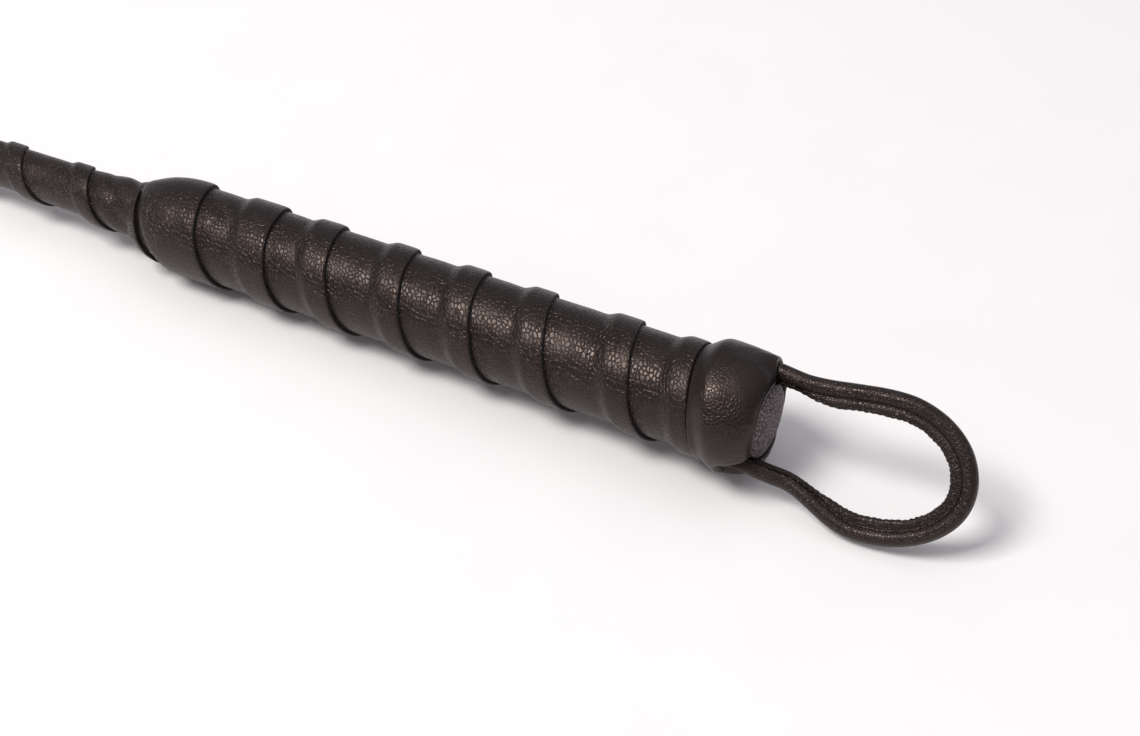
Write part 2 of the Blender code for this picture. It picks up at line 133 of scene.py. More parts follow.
# Hanging loop: leather folded round a cord, whose two layers make a flange on the inner side. A
# reach is a distance from the crop's axis, and the two waists are just outside the roots.
BEAD = 2.1
FLANGE = 4.3
FLANGE_HALF = 1.2
UPPER_ROOT_REACH = 12.9
LOWER_ROOT_REACH = 11.8
LOWER_ROOT_FRONT = 2.8
UPPER_WAIST = 12.3
LOWER_WAIST = 12.6
UPPER_REACH = 15.2
LOWER_REACH = 18.9
UPPER_WIDEST = 34.0
LOWER_WIDEST = 30.0
LOOP_LENGTH = 54.4
LOOP_TWIST = 0.35
WHIP_PITCH = 1.75
WHIP_FREE_END = 18.0
UPPER_TAB_HALF = 2.5
LOWER_TAB_HALF = 3.5

# Keeper: a round neck that flattens into the flap
NECK_START = 572.0
NECK_RADIUS = 5.45
NECK_HALF = 4.7
KEEPER_LENGTH = 60.0
KEEPER_HALF = 12.0
KEEPER_THICK = 1.65
KEEPER_CORNER = 7.0
SEAM_INSET = 2.4
KEEPER_STITCH = 2.8


# ---------------------------------------------------------------- shaping tools

def smooth(low, high, value):
    """0 below low, 1 above high, and an S-curve between."""
    u = np.clip((value - low) / (high - low), 0.0, 1.0)
    return u * u * (3.0 - 2.0 * u)


def drift(x, seed):
    """A slow, uneven wander between -1 and 1, the same on every run."""
    slow, middling = np.sin(x + seed), 0.7 * np.sin(2.17 * x + 2.3 * seed)
    return (slow + middling + 0.4 * np.sin(4.61 * x + 5.1 * seed)) / 2.1


def hump(turn, middle, flat, reach):
    """1 within flat degrees of the middle turn, and 0 beyond reach degrees."""
    away = np.abs((turn - middle + math.pi) % (2.0 * math.pi) - math.pi)
    return 1.0 - smooth(math.radians(flat), math.radians(reach), away)


def through(values, t):
    """A smooth line through evenly spaced values, at t counted in spacings."""
    values = np.array(values)
    t = np.clip(t, 0.0, len(values) - 1.001)
    i = t.astype(int)
    u = t - i
    before, here = values[np.maximum(i - 1, 0)], values[i]
    after, beyond = values[i + 1], values[np.minimum(i + 2, len(values) - 1)]
    bend = (2.0 * before - 5.0 * here + 4.0 * after - beyond) * u * u
    twist = (3.0 * here - before - 3.0 * after + beyond) * u ** 3
    return 0.5 * (2.0 * here + (after - before) * u + bend + twist)


def about_axis(s, radius, turn):
    """Points from distances, radii and turns."""
    return np.stack(np.broadcast_arrays(s, radius * np.sin(turn), radius * np.cos(turn)), -1)


def loft(name, rings, material, uv=None, joined=False, edge_faces=None, edge_material=None):
    """Skin a stack of closed sections, given in millimetres, and cap or join its two ends.

    A strip's uv runs along the leather, in metres. Edge_faces are the faces of each section, counted
    round it, that show the leather's cut edge.
    """
    count, points = rings.shape[:2]
    number = np.arange(count * points).reshape(count, points)
    near, far = (number, np.roll(number, -1, 0)) if joined else (number[:-1], number[1:])
    quads = np.stack([near, np.roll(near, -1, 1), np.roll(far, -1, 1), far], -1)
    faces = quads.reshape(-1, 4).tolist()
    if not joined:
        faces += [number[0][::-1].tolist(), number[-1].tolist()]
    mesh = bpy.data.meshes.new(name)
    mesh.from_pydata((rings.reshape(-1, 3) * MM).tolist(), [], faces)
    if uv is not None:
        corners = np.empty(len(mesh.loops), int)
        mesh.loops.foreach_get("vertex_index", corners)
        along_leather = mesh.uv_layers.new(name="along_leather")
        along_leather.data.foreach_set("uv", uv.reshape(-1, 2)[corners].ravel())
    mesh.materials.append(material)
    if edge_faces is not None:
        mesh.materials.append(edge_material)
        slots = np.zeros(len(mesh.polygons), int)
        strip = np.arange(len(faces) - (0 if joined else 2)) % points
        slots[:len(strip)][np.isin(strip, edge_faces)] = 1
        mesh.polygons.foreach_set("material_index", slots)
    built = bmesh.new()
    built.from_mesh(mesh)
    bmesh.ops.recalc_face_normals(built, faces=built.faces)
    for face in built.faces:
        face.smooth = True
    built.to_mesh(mesh)
    built.free()
    piece = bpy.data.objects.new(name, mesh)
    bpy.context.scene.collection.objects.link(piece)
    piece.matrix_world = crop_axes
    return piece


def threads(name, runs, radius, material, sides=6):
    """Short lengths of round thread as one piece: each run is an array of points in millimetres."""
    verts, faces = [], []
    ring = np.arange(sides)
    for run in runs:
        along = np.gradient(run, axis=0)
        along /= np.linalg.norm(along, axis=1)[:, None]
        across = np.cross(along, (0.31, 0.52, 0.79))
        across /= np.linalg.norm(across, axis=1)[:, None]
        other = np.cross(along, across)
        ends = np.sin(np.linspace(0.35, math.pi - 0.35, len(run)))[:, None, None] ** 0.35
        turn = 2.0 * math.pi * ring / sides
        circle = (across[:, None] * np.cos(turn)[None, :, None]
                  + other[:, None] * np.sin(turn)[None, :, None])
        first = len(verts)
        verts += (run[:, None] + radius * ends * circle).reshape(-1, 3).tolist()
        for i in range(len(run) - 1):
            near = first + i * sides + ring
            quads = np.stack([near, np.roll(near, -1), np.roll(near, -1) + sides, near + sides], -1)
            faces += quads.tolist()
        faces += [(first + ring[::-1]).tolist(), (first + (len(run) - 1) * sides + ring).tolist()]
    mesh = bpy.data.meshes.new(name)
    mesh.from_pydata((np.array(verts) * MM).tolist(), [], faces)
    mesh.materials.append(material)
    for face in mesh.polygons:
        face.use_smooth = True
    mesh.update()
    piece = bpy.data.objects.new(name, mesh)
    bpy.context.scene.collection.objects.link(piece)
    piece.matrix_world = crop_axes
    return piece


# ---------------------------------------------------------------- material tools

# How far apart a wave texture's bands are at scale 1, in metres: straight, and on a slant
WAVE = 0.314
WAVE_SLANTED = 0.363


def linear(colour):
    """An sRGB hex colour in linear light."""
    channels = [int(colour[i:i + 2], 16) / 255.0 for i in (1, 3, 5)]
    return [c / 12.92 if c <= 0.04045 else ((c + 0.055) / 1.055) ** 2.4 for c in channels] + [1.0]


def add(tree, kind, inputs=None, **settings):
    """Add a node, set it, and fill its inputs with values or with other nodes' outputs."""
    made = tree.nodes.new("ShaderNode" + kind)
    for name, value in settings.items():
        setattr(made, name, value)
    for name, value in (inputs or {}).items():
        if isinstance(value, bpy.types.NodeSocket):
            tree.links.new(value, made.inputs[name])
        else:
            made.inputs[name].default_value = value
    return made


def new_material(name, colour):
    """A material with a plain shader, whose viewport colour matches it."""
    material = bpy.data.materials.new(name)
    material.use_nodes = True
    material.diffuse_color = linear(colour)
    tree = material.node_tree
    shader = tree.nodes["Principled BSDF"]
    shader.inputs["Base Color"].default_value = linear(colour)
    return material, tree, shader


def leather(name, tops, crease_shade, pebble, relief, roughness, along_strip=False):
    """Leather with its natural grain: flat-topped pebbles of about one size, parted by fine crease
    lines.

    Pebble and relief are in millimetres. The crease lines hold less finish, so they are duller than the
    tops. Their colour is painted darker, as shade falling in them. The grain is worn down in patches as
    wide as a finger.
    """
    material, tree, shader = new_material(name, tops)
    place = add(tree, "TexCoord").outputs["UV" if along_strip else "Object"]
    warp = add(tree, "TexNoise", {"Vector": place, "Scale": 0.45 / (pebble * MM), "Detail": 2.0})
    bent = add(tree, "VectorMath", {0: warp.outputs["Color"], "Scale": 0.7 * pebble * MM},
               operation="SCALE")
    moved = add(tree, "VectorMath", {0: place, 1: bent.outputs["Vector"]}, operation="ADD")
    stretch = (0.72, 1.0, 1.0) if along_strip else (1.0, 1.0, 1.0)
    stretched = add(tree, "Mapping", {"Vector": moved.outputs["Vector"], "Scale": stretch})
    cells = add(tree, "TexVoronoi", {"Vector": stretched.outputs["Vector"], "Scale": 1.0 / (pebble * MM),
                                     "Randomness": 0.9}, feature="DISTANCE_TO_EDGE")
    pebbles = add(tree, "MapRange", {"Value": cells.outputs["Distance"], "From Max": 0.20},
                  interpolation_type="SMOOTHSTEP")
    pores = add(tree, "TexNoise", {"Vector": place, "Scale": 1.0 / (0.22 * MM), "Detail": 2.0})
    wear = add(tree, "TexNoise", {"Vector": place, "Scale": 1.0 / (9.0 * MM), "Detail": 3.0})
    uneven = add(tree, "MapRange", {"Value": wear.outputs["Fac"], "From Min": 0.35, "From Max": 0.65,
                                    "To Min": 0.35, "To Max": 1.0})
    height = add(tree, "Math", {0: pebbles.outputs["Result"], 1: uneven.outputs["Result"]},
                 operation="MULTIPLY")
    grain = add(tree, "Bump", {"Height": height.outputs["Value"], "Distance": relief * MM,
                               "Strength": 1.0})
    fine = add(tree, "Bump", {"Height": pores.outputs["Fac"], "Distance": 0.25 * relief * MM,
                              "Strength": 0.35, "Normal": grain.outputs["Normal"]})
    # Painted shade: the colour darkens from the pebble tops into the crease lines between them
    colour = add(tree, "Mix", {"Factor": pebbles.outputs["Result"], "A": linear(crease_shade),
                               "B": linear(tops)}, data_type="RGBA")
    dull = add(tree, "MapRange", {"Value": height.outputs["Value"], "To Min": roughness + 0.16,
                                  "To Max": roughness})
    tree.links.new(colour.outputs["Result"], shader.inputs["Base Color"])
    tree.links.new(dull.outputs["Result"], shader.inputs["Roughness"])
    tree.links.new(fine.outputs["Normal"], shader.inputs["Normal"])
    shader.inputs["IOR"].default_value = 1.5
    shader.inputs["Specular Tint"].default_value = linear("#ffe6dc")
    return material


def cut_leather_edge():
    """The raw edge of dyed leather: loose dull fibres, blacker than the grain side."""
    material, tree, shader = new_material("leather_cut_edge", "#0d0b0a")
    place = add(tree, "TexCoord").outputs["Object"]
    fibres = add(tree, "TexNoise", {"Vector": place, "Scale": 1.0 / (0.3 * MM), "Detail": 4.0})
    raised = add(tree, "Bump", {"Height": fibres.outputs["Fac"], "Distance": 0.12 * MM})
    tone = add(tree, "Mix", {"Factor": fibres.outputs["Fac"], "A": linear("#070606"),
                             "B": linear("#1b1715")}, data_type="RGBA")
    tree.links.new(tone.outputs["Result"], shader.inputs["Base Color"])
    tree.links.new(raised.outputs["Normal"], shader.inputs["Normal"])
    shader.inputs["Roughness"].default_value = 0.85
    return material


def waxed_thread():
    """Twisted black linen thread, waxed: soft gleams on each strand of the twist, partly painted into
    its colour as a lighter tone on each strand's crest.

    The strands are drawn 0.8 mm apart, twice as coarse as real ones, so that they show.
    """
    material, tree, shader = new_material("waxed_twisted_thread", "#131010")
    place = add(tree, "TexCoord").outputs["Object"]
    strands = add(tree, "TexWave", {"Vector": place, "Scale": WAVE_SLANTED / (0.8 * MM),
                                   "Distortion": 1.5}, bands_direction="DIAGONAL")
    raised = add(tree, "Bump", {"Height": strands.outputs["Fac"], "Distance": 0.08 * MM})
    # Painted highlight: the colour is lighter on the crest of each strand
    tone = add(tree, "Mix", {"Factor": strands.outputs["Fac"], "A": linear("#0b0909"),
                             "B": linear("#221c1b")}, data_type="RGBA")
    tree.links.new(tone.outputs["Result"], shader.inputs["Base Color"])
    tree.links.new(raised.outputs["Normal"], shader.inputs["Normal"])
    shader.inputs["Roughness"].default_value = 0.5
    return material


def pressed_felt():
    """Grey wool felt: matt, with matted fibres."""
    material, tree, shader = new_material("pressed_wool_felt", "#34312f")
    place = add(tree, "TexCoord").outputs["Object"]
    wool = add(tree, "TexNoise", {"Vector": place, "Scale": 1.0 / (0.6 * MM), "Detail": 6.0})
    raised = add(tree, "Bump", {"Height": wool.outputs["Fac"], "Distance": 0.3 * MM})
    tone = add(tree, "Mix", {"Factor": wool.outputs["Fac"], "A": linear("#24211f"),
                             "B": linear("#4a4643")}, data_type="RGBA")
    tree.links.new(tone.outputs["Result"], shader.inputs["Base Color"])
    tree.links.new(raised.outputs["Normal"], shader.inputs["Normal"])
    shader.inputs["Roughness"].default_value = 0.95
    return material


def turned_beech():
    """Beech turned on a lathe: pale, with short darker flecks along the grain."""
    material, tree, shader = new_material("turned_beech", "#b98f62")
    place = add(tree, "TexCoord").outputs["Object"]
    drawn = add(tree, "Mapping", {"Vector": place, "Scale": (0.08, 1.0, 1.0)})
    flecks = add(tree, "TexNoise", {"Vector": drawn.outputs["Vector"], "Scale": 1.0 / (0.8 * MM),
                                    "Detail": 4.0})
    tone = add(tree, "Mix", {"Factor": flecks.outputs["Fac"], "A": linear("#8f6740"),
                             "B": linear("#d0a878")}, data_type="RGBA")
    tree.links.new(tone.outputs["Result"], shader.inputs["Base Color"])
    shader.inputs["Roughness"].default_value = 0.6
    return material


def drawn_fibreglass():
    """Fibreglass rod as drawn: milky, with glass strands along it."""
    material, tree, shader = new_material("drawn_fibreglass", "#c3c1b1")
    place = add(tree, "TexCoord").outputs["Object"]
    drawn = add(tree, "Mapping", {"Vector": place, "Scale": (0.03, 1.0, 1.0)})
    strands = add(tree, "TexNoise", {"Vector": drawn.outputs["Vector"], "Scale": 1.0 / (0.2 * MM)})
    tone = add(tree, "Mix", {"Factor": strands.outputs["Fac"], "A": linear("#aeac9a"),
                             "B": linear("#dedccd")}, data_type="RGBA")
    tree.links.new(tone.outputs["Result"], shader.inputs["Base Color"])
    shader.inputs["Roughness"].default_value = 0.4
    return material


def wound_linen():
    """Glued linen, plain woven: threads of 0.5 mm each way."""
    material, tree, shader = new_material("plain_woven_linen", "#ad9f83")
    place = add(tree, "TexCoord").outputs["Object"]
    warp = add(tree, "TexWave", {"Vector": place, "Scale": WAVE / (0.5 * MM)}, bands_direction="X")
    weft = add(tree, "TexWave", {"Vector": place, "Scale": WAVE / (0.5 * MM)}, bands_direction="Z")
    weave = add(tree, "Math", {0: warp.outputs["Fac"], 1: weft.outputs["Fac"]}, operation="MULTIPLY")
    raised = add(tree, "Bump", {"Height": weave.outputs["Value"], "Distance": 0.1 * MM})
    tone = add(tree, "Mix", {"Factor": weave.outputs["Value"], "A": linear("#85775d"),
                             "B": linear("#c4b799")}, data_type="RGBA")
    tree.links.new(tone.outputs["Result"], shader.inputs["Base Color"])
    tree.links.new(raised.outputs["Normal"], shader.inputs["Normal"])
    shader.inputs["Roughness"].default_value = 0.9
    return material


def pressed_steel():
    """Plain pressed steel: grey, with fine rubbing marks that soften its gleam."""
    material, tree, shader = new_material("pressed_steel", "#b9b9bb")
    place = add(tree, "TexCoord").outputs["Object"]
    rubs = add(tree, "TexNoise", {"Vector": place, "Scale": 1.0 / (0.4 * MM), "Detail": 5.0})
    dull = add(tree, "MapRange", {"Value": rubs.outputs["Fac"], "To Min": 0.25, "To Max": 0.45})
    tree.links.new(dull.outputs["Result"], shader.inputs["Roughness"])
    shader.inputs["Metallic"].default_value = 1.0
    return material


def white_paper():
    """A matt white sheet, whose tone wanders very slightly."""
    material, tree, shader = new_material("matt_white_paper", "#f6f5f5")
    place = add(tree, "TexCoord").outputs["Object"]
    tooth = add(tree, "TexNoise", {"Vector": place, "Scale": 1.0 / (30.0 * MM), "Detail": 2.0})
    tone = add(tree, "Mix", {"Factor": tooth.outputs["Fac"], "A": linear("#f4f2f3"),
                             "B": linear("#f8f7f7")}, data_type="RGBA")
    tree.links.new(tone.outputs["Result"], shader.inputs["Base Color"])
    shader.inputs["Roughness"].default_value = 0.9
    shader.inputs["Specular IOR Level"].default_value = 0.2
    return material


# Cowhide strip, drum-dyed black and waxed: a warm black whose pebbles glint where it turns up
wrap_hide = leather("waxed_cowhide_strip", "#120c0d", "#030202", 1.05, 0.15, 0.28, along_strip=True)
# The same hide pulled tight over the knob, which flattens its grain
stretched_hide = leather("stretched_waxed_cowhide", "#120c0d", "#050303", 0.95, 0.065, 0.26)
# Calf rolled round a cord: closer grain, polished by handling
loop_hide = leather("rolled_black_calf", "#140e0f", "#060404", 0.75, 0.12, 0.25)
# Unwaxed pebbled hide, rougher than the rest; its colour is painted a lighter grey-purple as the white
# table's reflection on it
disc_hide_painted_reflection = leather("pebbled_hide_painted_table_reflection", "#71666a", "#1e191b", 1.05, 0.30, 0.56)
# Firm strap leather for the flap
keeper_hide = leather("black_strap_leather", "#24201d", "#100e0d", 0.70, 0.06, 0.40)
raw_edge = cut_leather_edge()
thread = waxed_thread()


# ---------------------------------------------------------------- camera and light

VIEW_AZIMUTH = math.radians(28.7)
VIEW_ELEVATION = math.radians(40.75)
VIEW_DISTANCE = 0.483
VIEW_LENS = 59.3
LIT_PLACE = Vector((0.24, 0.0, 0.0))
aim = crop_axes @ (Vector((51.9, 2.5, -2.0)) * MM)
away = Vector((math.sin(VIEW_AZIMUTH) * math.cos(VIEW_ELEVATION),
               -math.cos(VIEW_AZIMUTH) * math.cos(VIEW_ELEVATION), math.sin(VIEW_ELEVATION)))


def make_camera():
    """A camera that looks down along the handle from the butt."""
    camera = bpy.data.objects.new("camera", bpy.data.cameras.new("camera"))
    camera.data.lens = VIEW_LENS
    camera.data.sensor_width = 36.0
    camera.data.clip_start = 0.01
    camera.location = aim + away * VIEW_DISTANCE
    camera.rotation_euler = away.to_track_quat("Z", "Y").to_euler()
    bpy.context.scene.collection.objects.link(camera)
    bpy.context.scene.camera = camera


def softbox(name, place, width, height, power, colour):
    """A rectangular light that faces the middle of the handle: metres and watts."""
    light = bpy.data.lights.new(name, "AREA")
    light.shape = "RECTANGLE"
    light.size = width
    light.size_y = height
    light.energy = power
    light.color = linear(colour)[:3]
    lamp = bpy.data.objects.new(name, light)
    lamp.location = place
    lamp.rotation_euler = (Vector(place) - LIT_PLACE).to_track_quat("Z", "Y").to_euler()
    bpy.context.scene.collection.objects.link(lamp)


def make_studio():
    """A white table lit by a softbox high on the near left, with a weak wide one overhead."""
    mesh = bpy.data.meshes.new("table")
    reach = 12.0
    mesh.from_pydata([(-reach, -reach, 0), (reach, -reach, 0), (reach, reach, 0), (-reach, reach, 0)],
                     [], [(0, 1, 2, 3)])
    mesh.materials.append(white_paper())
    table = bpy.data.objects.new("table", mesh)
    bpy.context.scene.collection.objects.link(table)

    softbox("near_left", (-0.55, -1.00, 2.00), 0.95, 0.90, 46.0, "#fffcf8")
    softbox("overhead", (0.62, 0.45, 2.50), 3.2, 2.5, 10.0, "#fbfaff")

    world = bpy.data.worlds.new("studio")
    world.use_nodes = True
    room = world.node_tree.nodes["Background"]
    room.inputs["Color"].default_value = linear("#f6f3fa")
    room.inputs["Strength"].default_value = 0.38
    bpy.context.scene.world = world
    bpy.context.scene.view_settings.view_transform = "Standard"


# ---------------------------------------------------------------- wound leather

def handle_seat(s):
    """Radius of the padded handle under its leather."""
    along = (s - HANDLE_START) / (HANDLE_END - HANDLE_START)
    dome = np.clip((s - HANDLE_END + DOME_LENGTH) / DOME_LENGTH, 0.0, 1.0)
    return BUTT_SEAT + (FRONT_SEAT - BUTT_SEAT) * along - DOME_DROP * dome ** DOME_ROUNDNESS


def shaft_seat(s):
    """Radius of the shaft under its leather."""
    along = (s - HANDLE_END) / (SHAFT_END - HANDLE_END)
    bunched = SHAFT_BUNCHED * (1.0 - smooth(HANDLE_END + 10.0, HANDLE_END + 130.0, s))
    return SHAFT_SEAT + (SHAFT_TIP_SEAT - SHAFT_SEAT) * along + bunched


def wind(name, turns, edge, under, tip_edge, stop, height, thickness, steps):
    """Wind a strip of leather. Each turn's butt-side edge lies on the turn before it.

    For each turn t, edge is where its butt-side edge lies, under is where the leather beneath it
    ends, and tip_edge is its hidden edge. Height gives the outer surface's radius at (distance,
    turn, where the leather beneath ends), and steps is how many points cross the part that shows.
    """
    start = edge(turns)
    finish = np.minimum(tip_edge(turns), stop)
    tucked = 1.2
    ahead = np.minimum(edge(turns + 1.0) + tucked, finish)
    rounding = 0.16
    share = np.linspace(0.0, 1.0, steps)
    shown = start[:, None] + rounding + (ahead - start - rounding)[:, None] * share[None]
    hidden = ahead[:, None] + (finish - ahead)[:, None] * np.array([[0.33, 0.66, 1.0]])
    inside = np.array([[0.0, 0.3, 0.55, 0.75, 0.88, 1.0]])
    back = finish[:, None] + (start - finish)[:, None] * inside
    s = np.concatenate([start[:, None], start[:, None] + 0.05, shown, hidden, back], 1)
    drop = np.zeros(s.shape[1])
    drop[:2] = 0.30, 0.10
    drop[-inside.size:] = thickness
    turn = FAR_TOP - 2.0 * math.pi * turns[:, None]
    radius = height(s, turns[:, None], under(turns)[:, None]) - drop
    rings = about_axis(s, radius, turn)
    mean_radius = 14.0
    uv = np.stack([-turn * mean_radius * np.ones_like(s), s - start[:, None] + 40.0], -1) * MM
    cut_faces = [0, s.shape[1] - 1]
    return loft(name, rings, wrap_hide, uv, edge_faces=cut_faces, edge_material=raw_edge)


def waist(t):
    """Where the handle's first turn ends against the knob."""
    return WAIST_MIDDLE + WAIST_LEAN * np.cos(2.0 * math.pi * t)


def make_handle_wrap():
    """The handle's strip, with rolled edges, soft dents, and small pleats round the dome."""
    def edge(t):
        wander = 0.35 * drift(9.0 * t, 1.0) * smooth(0.0, 0.4, t)
        return np.where(t < 0.0, waist(t), through(TURN_EDGES, t)) + wander

    def under(t):
        return edge(t) + through(LAP_WIDTHS, t)

    def tip_edge(t):
        return edge(t + 1.0) + through(LAP_WIDTHS, t + 1.0)

    def height(s, t, beneath):
        turn = -2.0 * math.pi * t
        lap = 1.0 - smooth(beneath - 2.2, beneath + 1.8, s)
        rolled = (0.07 * drift(5.0 * t, 4.0) - 0.22) * np.exp(-(s - edge(t)) / 0.7)
        dents = 0.13 * drift(s / 5.5 + 1.2 * np.sin(turn), 2.0) * drift(turn * 2.0 + s / 30.0, 7.0)
        drape = 0.10 * np.exp(-((s - beneath - 2.2) / 2.0) ** 2)
        pleats = 0.16 * drift(turn * 7.0, 3.0) * smooth(HANDLE_END - 12.0, HANDLE_END, s)
        return handle_seat(s) + HANDLE_LEATHER * (1.3 + lap) + rolled + dents - drape + pleats

    turns = np.arange(-1.0, LAST_TURN, 1.0 / 76.0)
    wrap = wind("handle_winding", turns, edge, under, tip_edge, HANDLE_END, height,
                HANDLE_LEATHER, 48)
    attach(wrap, "crop")
    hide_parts("handle_wrap")


def make_shaft_wrap():
    """The shaft's strip, wound more steeply, and folded where it is pulled in beside the handle."""
    def edge(t):
        wound = SHAFT_FIRST_EDGE + SHAFT_PITCH * (t - 1.0) + 0.5 * drift(3.1 * t, 2.0)
        return np.maximum(wound, HANDLE_END - 7.0)

    def under(t):
        return edge(t) + SHAFT_LAP + 0.8 * drift(1.3 * t, 5.0)

    def tip_edge(t):
        return edge(t + 1.0) + SHAFT_LAP + 0.8 * drift(1.3 * t + 1.3, 5.0)

    def height(s, t, beneath):
        turn = -2.0 * math.pi * t
        lap = 1.0 - smooth(beneath - 1.0, beneath + 1.3, s)
        rolled = (0.10 * drift(4.0 * t, 4.0) - 0.12) * np.exp(-(s - edge(t)) / 0.7)
        dents = 0.10 * drift(s / 4.5, 2.0) * drift(turn + s / 20.0, 7.0)
        near_handle = 1.0 - smooth(HANDLE_END + 8.0, HANDLE_END + 24.0, s)
        slant = 1.5 * turn + s / 3.1 + 0.6 * drift(s / 6.0, 1.0)
        folds = (0.62 * np.abs(np.sin(slant)) + 0.45) * near_handle
        return shaft_seat(s) + SHAFT_LEATHER * (1.05 + lap) + rolled + dents + folds

    last_turn = (SHAFT_WRAP_END - 1.0 - SHAFT_FIRST_EDGE) / SHAFT_PITCH + 1.0
    turns = np.arange(-1.0, last_turn, 1.0 / 44.0)
    wrap = wind("shaft_winding", turns, edge, under, tip_edge, SHAFT_WRAP_END, height,
                SHAFT_LEATHER, 34)
    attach(wrap, "crop")
    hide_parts("shaft_wrap")


# ---------------------------------------------------------------- knob

def make_knob():
    """One cover over the knob: a flap over the loop's upper root, and a notch for its lower one."""
    turn = np.linspace(-math.pi, math.pi, 181)[:-1][:, None]
    flap = hump(turn, UPPER_ROOT, 3.0, 25.0)
    notch = hump(turn, LOWER_ROOT - math.radians(15.0), 13.0, 25.0)
    hidden = hump(turn, math.radians(-110.0), 0.0, 80.0)
    wander = 0.25 * drift(3.0 * turn, 2.0)
    rim = -RIM_OUT + FLAP_BACK * flap + NOTCH_BACK * notch + hidden + wander
    rim_radius = RIM_RADIUS + FLAP_SPREAD * flap + NOTCH_SPREAD * notch
    t = -(turn - FAR_TOP) / (2.0 * math.pi)
    back = waist(t)
    peak = back - KNOB_BACK

    bulge = np.radians(np.linspace(82.0, 0.0, 26))[None]
    slope = (np.cos(bulge) - math.cos(bulge.max())) / (1.0 - math.cos(bulge.max()))
    front_s = peak - (peak - rim) * np.sin(bulge) / math.sin(bulge.max())
    front_r = rim_radius + (KNOB_RADIUS - rim_radius) * slope
    fall = np.linspace(0.0, 1.0, 15)[None, 1:]
    back_s = peak + (back - 0.2 - peak) * fall
    low_front = hump(turn, math.radians(120.0), 20.0, 100.0)
    waist_radius = WAIST_RADIUS + 0.9 * low_front
    back_r = KNOB_RADIUS - (KNOB_RADIUS - waist_radius) * smooth(0.0, 1.15, fall)
    tail_s = np.concatenate([back + 0.6, back + 3.0, np.full_like(turn, TAIL_END)], 1)
    tail_r = np.full_like(tail_s, TAIL_RADIUS)

    roll = np.radians(np.array([[230.0, 195.0, 160.0, 125.0]]))
    lip = 0.75
    lip_s = rim + lip * (0.45 + np.cos(roll))
    lip_r = rim_radius - lip + lip * np.sin(roll)
    inner_s = rim + np.array([[4.2, 2.2]]) * np.ones_like(turn)
    inner_r = np.maximum(rim_radius - 1.4 - np.array([[0.2, 0.0]]), 10.2)
    under_s = np.concatenate([tail_s[:, ::-1], back - 0.4, peak, 0.5 * (peak + rim) + 1.0], 1)
    under_r = np.concatenate([tail_r - 0.9, np.full_like(turn, WAIST_RADIUS - COVER_LEATHER),
                              np.full_like(turn, KNOB_RADIUS - COVER_LEATHER),
                              0.5 * (KNOB_RADIUS + rim_radius) - 1.0], 1)

    s = np.concatenate([lip_s, front_s, back_s, tail_s, under_s, inner_s], 1)
    r = np.concatenate([lip_r, front_r, back_r, tail_r, under_r, inner_r], 1)
    near_rim = np.exp(-np.abs(s - rim) / 3.0)
    gathers = 0.16 * drift(turn * 9.0, 6.0) * near_rim
    dents = 0.16 * drift(turn * 2.0 + s / 7.0, 3.0) + 0.08 * drift(turn * 5.0 - s / 3.0, 8.0)
    shown = np.arange(s.shape[1]) < roll.size + bulge.size + fall.size
    pinch = 0.175 * np.exp(-((s - peak - 1.5) / 5.0) ** 2) * hump(turn, math.radians(20.0), 0.0, 40.0)
    away_from_waist = 1.0 - smooth(back - 2.5, back, s)
    r = r + (gathers + dents - pinch - 0.8 * low_front) * shown * away_from_waist
    cover = loft("knob_leather", about_axis(s, r, turn), stretched_hide, joined=True)
    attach(cover, "crop")
    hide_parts("knob_cover")


def make_end_disc():
    """A domed disc of pebbled leather, glued on and slightly uneven at its edge."""
    turn = np.linspace(-math.pi, math.pi, 121)[:-1][None]
    share = np.sin(np.radians(np.linspace(1.0, 90.0, 22)))[:, None]
    radius = DISC_RADIUS + 0.12 * drift(4.0 * turn, 1.0)
    bumps = 0.06 * drift(5.0 * share + turn, 2.0) * share
    dome = DISC_EDGE - DISC_DOME * np.sqrt(1.0 - (0.985 * share) ** 2) + bumps
    rings = [about_axis(dome, radius * share, turn)]
    for s, shrink in ((-1.55, 0.1), (-1.3, 0.5)):
        rings.append(about_axis(np.full_like(turn, s), radius - shrink, turn))
    # The disc's lighter grey-purple colour is painted reflection of the white table
    disc = loft("butt_disc", np.concatenate(rings, 0), disc_hide_painted_reflection)
    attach(disc, "crop")
    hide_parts("end_disc")


# ---------------------------------------------------------------- hanging loop

def loop_line(step):
    """Evenly spaced points on the strap's centre line, as (sideways, out of the butt)."""
    def half(root, waist_reach, widest, reach, bow_middle):
        out = np.linspace(-9.0, widest, 120)
        side = root + (waist_reach - root) * smooth(0.0, 10.0, out)
        side += (reach - waist_reach) * smooth(9.0, widest, out)
        bow = np.linspace(0.0, 0.5 * math.pi, 60)[1:]
        bend = np.stack([bow_middle + (reach - bow_middle) * np.cos(bow),
                         widest + (LOOP_LENGTH - widest) * np.sin(bow)], -1)
        return np.concatenate([np.stack([side, out], -1), bend])

    middle = (UPPER_REACH - LOWER_REACH) / 2.0
    upper = half(UPPER_ROOT_REACH, UPPER_WAIST, UPPER_WIDEST, UPPER_REACH, middle)
    lower = half(LOWER_ROOT_REACH, LOWER_WAIST, LOWER_WIDEST, LOWER_REACH, -middle)[:-1]
    line = np.concatenate([upper, lower[::-1] * (-1.0, 1.0)])
    length = np.concatenate([[0.0], np.cumsum(np.linalg.norm(np.diff(line, axis=0), axis=1))])
    even = np.linspace(0.0, length[-1], int(length[-1] / step))
    line = np.stack([np.interp(even, length, line[:, k]) for k in (0, 1)], -1)
    for _ in range(6):
        line[1:-1] = 0.5 * line[1:-1] + 0.25 * (line[:-2] + line[2:])
    return line, even


